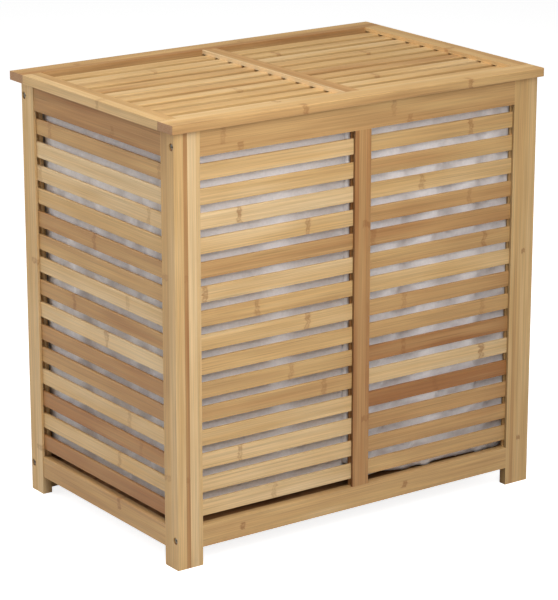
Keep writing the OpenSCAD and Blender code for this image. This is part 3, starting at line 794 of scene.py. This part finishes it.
def shape_cloth(bag, side, seed):
    """Adds the creases and folds along each point's normal, moves the walls back or out, and keeps
    the cloth clear of the frame."""
    low, high = BAG_BOXES[side]
    hem_z = high.z - HEM
    moved = []
    for vertex in bag.data.vertices:
        amount = crease_amount(vertex.co, side) * clamp((hem_z - vertex.co.z) / (30 * MM))
        lift = (crease_height(vertex.co, seed) - 0.5) * amount * CREASE_DEPTH[side]
        if abs(vertex.normal.y) > 0.6:
            lift += fold_height(vertex.co, side) * min(1.0, amount + 0.3)
        place = vertex.co + vertex.normal * lift
        place.y += front_recess(place, side)
        bulge = bay_bulge(place, side)
        place.x += -bulge[X] if side == "left" else bulge[X]
        place.y -= bulge[Y]
        moved.append((place, bulge))
    for vertex, (place, bulge) in zip(bag.data.vertices, moved):
        for axis in (X, Y):
            air = WALL_AIR + bulge[axis]
            place[axis] = clamp(place[axis], low[axis] - air, high[axis] + air)
        place.z = max(place.z, low.z - 3 * MM)
        vertex.co = place
    bag.data.update()


def ring_of(bag):
    """The points of the bag's mouth in order round it, and the direction into the bag at each."""
    top = max(vertex.co.z for vertex in bag.data.vertices)
    mouth = [vertex.co.copy() for vertex in bag.data.vertices if vertex.co.z > top - 0.5 * MM]
    middle = sum(mouth, Vector()) / len(mouth)
    mouth.sort(key=lambda point: math.atan2(point.y - middle.y, point.x - middle.x))
    inward = []
    for number, point in enumerate(mouth):
        along = (mouth[(number + 1) % len(mouth)] - mouth[number - 1]).normalized()
        inward.append(Vector((-along.y, along.x, 0)))
    return mouth, inward


def strip_faces(rows, columns, closed):
    """Quads between neighbouring columns of rows points each."""
    last = columns if closed else columns - 1
    faces = []
    for column in range(last):
        here, there = column * rows, (column + 1) % columns * rows
        for row in range(rows - 1):
            faces.append([here + row, there + row, there + row + 1, here + row + 1])
    return faces


# The hem's section: how far into the bag and how far below the mouth each row lies, in mm
HEM_ROWS = [(-0.9, 2.2), (-0.8, 0.3), (-0.3, -0.5), (0.4, -0.7), (1.1, -0.4), (1.4, 0.6),
            (1.5, 5.0), (1.55, 10.0), (1.4, 14.6), (1.0, 16.0), (1.35, 17.2), (1.3, 19.0),
            (0.7, 19.9)]
FLAP = 9 * MM                # how far the seams stand out from the upright corners
SEAM_STEPS = 70
SEAM_ROWS = 6
STITCH_DROP = 16.0 * MM
STITCH_STEP = 4.4 * MM
STITCH_LONG = 3.1 * MM
STITCH_WIDE = 0.55 * MM


def hem_points(mouth, inward):
    """The hem's points: one column of HEM_ROWS at each point of the mouth, puckered at its foot."""
    points = []
    for point, into in zip(mouth, inward):
        pucker = 0.35 * MM * noise.noise(point / (11 * MM))
        for inset, drop in HEM_ROWS:
            shift = inset * MM + pucker * clamp(drop / 10)
            points.append(point + into * shift - Vector((0, 0, drop * MM)))
    return points


def corner_seam(surface, side, sx, sy):
    """The folded seam allowance that stands out from one upright corner, as points of a thin U."""
    low, high = BAG_BOXES[side]
    centre_x = (high.x if sx > 0 else low.x) - sx * CORNER
    centre_y = (high.y if sy > 0 else low.y) - sy * CORNER
    centre = Vector((centre_x, centre_y, 0))
    out = Vector((sx, sy, 0)).normalized()
    beside = Vector((-out.y, out.x, 0))
    points = []
    bottom, top = low.z + 30 * MM, high.z - 1 * MM
    for step in range(SEAM_STEPS + 1):
        start = centre + Vector((0, 0, bottom + (top - bottom) * step / SEAM_STEPS))
        place = surface.ray_cast(start, out, 2 * CORNER)[0]
        if place is None:
            continue
        wave = 0.9 * MM * noise.noise(Vector((sx, sy, place.z / (26 * MM))))
        reach = FLAP + 0.8 * MM * noise.noise(Vector((sx, 3 + sy, place.z / (40 * MM))))
        section = [(-0.4 * MM, 1.0 * MM), (0.55 * reach, 0.85 * MM), (reach, 0.6 * MM)]
        section += [(length, -width) for length, width in reversed(section)]
        for length, width in section:
            sway = wave * max(0.0, length) / FLAP
            points.append(place + out * length + beside * (width + sway))
    return points


def make_trim(bag, side):
    """The hem round the bag's mouth and the seams down its corners, as one piece."""
    mouth, inward = ring_of(bag)
    points = hem_points(mouth, inward)
    faces = strip_faces(len(HEM_ROWS), len(mouth), True)
    surface = BVHTree.FromPolygons([vertex.co for vertex in bag.data.vertices],
                                   [list(polygon.vertices) for polygon in bag.data.polygons])
    for sx in (-1, 1):
        for sy in (-1, 1):
            seam = corner_seam(surface, side, sx, sy)
            first = len(points)
            points += seam
            seam_faces = strip_faces(SEAM_ROWS, len(seam) // SEAM_ROWS, False)
            faces += [[first + corner for corner in face] for face in seam_faces]
    trim = mesh_object(f"{side}_liner_trim", points, faces)
    trim.data.polygons.foreach_set("use_smooth", [True] * len(faces))
    thick = trim.modifiers.new("thickness", "SOLIDIFY")
    thick.thickness = 0.35 * MM
    thick.offset = 0
    return trim


def make_stitches(bag, side):
    """Lines of stitches along the hem, inside and outside the mouth."""
    mouth, inward = ring_of(bag)
    up = Vector((0, 0, 1))
    points, faces = [], []
    walked, due = 0.0, 0.0
    for number, point in enumerate(mouth):
        following = mouth[(number + 1) % len(mouth)]
        length = (following - point).length
        along = (following - point).normalized()
        while due < walked + length:
            spot = point + along * (due - walked)
            into = inward[number]
            for inset in (1.25 * MM, -0.75 * MM):
                centre = spot + into * inset - Vector((0, 0, STITCH_DROP))
                first = len(points)
                points += [centre - along * STITCH_LONG / 2, centre + along * STITCH_LONG / 2,
                           centre - up * STITCH_WIDE / 2, centre + into * STITCH_WIDE / 2,
                           centre + up * STITCH_WIDE / 2, centre - into * STITCH_WIDE / 2]
                for one, two in ((2, 3), (3, 4), (4, 5), (5, 2)):
                    faces.append([first, first + two, first + one])
                    faces.append([first + 1, first + one, first + two])
            due += STITCH_STEP
        walked += length
    stitches = mesh_object(f"{side}_liner_stitches", points, faces)
    stitches.data.polygons.foreach_set("use_smooth", [True] * len(faces))
    return stitches


def low_edge(side, x):
    """How far above its CAD solid the bag's bottom starts. The right bag hangs askew."""
    if side == "left":
        return 22 * MM
    low, high = BAG_BOXES["right"]
    share = (x - low.x) / (high.x - low.x)
    return 17 * MM - 13 * MM * share ** 1.5


def make_bags():
    """The two bags with their trim and stitches, simulated together, shaped and attached to the
    body.
    """
    bags = {}
    inset = Vector((BAG_INSET, BAG_INSET, 0))
    for side in ("left", "right"):
        low, high = BAG_BOXES[side]
        bag = bag_shell(f"{side}_liner_cloth", low + inset, high - inset)
        for vertex in bag.data.vertices:
            share = (high.z - vertex.co.z) / (high.z - low.z)
            vertex.co.z += low_edge(side, vertex.co.x) * share
            if vertex.co.z < high.z - HEM:
                vertex.co += 1.2 * MM * noise.noise_vector(vertex.co / (35 * MM))
        add_cloth(bag, high.z)
        bags[side] = bag
    stops = make_stops()
    settle(bags.values(), SETTLE_FRAMES)
    for stop in stops:
        bpy.data.objects.remove(stop)
    cloth, thread = cloth_material(), thread_material()
    for seed, (side, bag) in enumerate(bags.items()):
        bag.modifiers.clear()
        shape_cloth(bag, side, 3.1 + seed)
        trim, stitches = make_trim(bag, side), make_stitches(bag, side)
        bag.data.polygons.foreach_set("use_smooth", [True] * len(bag.data.polygons))
        thick = bag.modifiers.new("thickness", "SOLIDIFY")
        thick.thickness = CLOTH_THICK
        thick.offset = -1
        for piece, material in ((bag, cloth), (trim, cloth), (stitches, thread)):
            piece.data.materials.clear()
            piece.data.materials.append(material)
            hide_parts(f"{side}_liner_bag")
            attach(piece, "body")
        low, high = BAG_BOXES[side]


def cloth_material():
    """Thin white woven cloth: a fine weave, thicker threads here and there, and faint clouding."""
    shader = Shader("liner_cloth")
    place = shader.split(shader.position)
    side_on = shader.smooth(shader.math("ABSOLUTE", shader.split(shader.normal)[X]), 0.5, 0.75)
    waves = [shader.wave(part, 0.9 * MM) for part in place]
    front_on = shader.math("SUBTRACT", 1.0, side_on)
    level_wave = shader.add(shader.times(waves[X], front_on), shader.times(waves[Y], side_on))
    weave = shader.times(level_wave, waves[Z])
    slub = shader.noise(shader.position, 220.0, 3.0)
    clouding = shader.noise(shader.position, 14.0, 2.0)
    threads = shader.smooth(slub, 0.3, 0.7, 0.95, 1.03)
    shade = shader.add(threads, shader.times(shader.add(clouding, -0.5), 0.08))
    tint = shader.shaded(srgb(250, 248, 250), shade)
    shader.bump(shader.add(shader.times(weave, 0.4), slub), 0.25, 0.2 * MM)
    shader.surface(tint, roughness=0.8, specular=0.25, sheen=0.25)
    return shader.material


def thread_material():
    """White sewing thread with its twist."""
    shader = Shader("sewing_thread")
    x, y, z = shader.split(shader.position)
    twist = shader.wave(shader.add(shader.add(x, y), z), 0.6 * MM)
    colour = shader.mix(shader.smooth(twist, -1.0, 1.0), srgb(196, 192, 188), srgb(240, 238, 236))
    shader.bump(twist, 0.5, 0.1 * MM)
    shader.surface(colour, roughness=0.6, specular=0.3, sheen=0.2)
    return shader.material


make_bags()
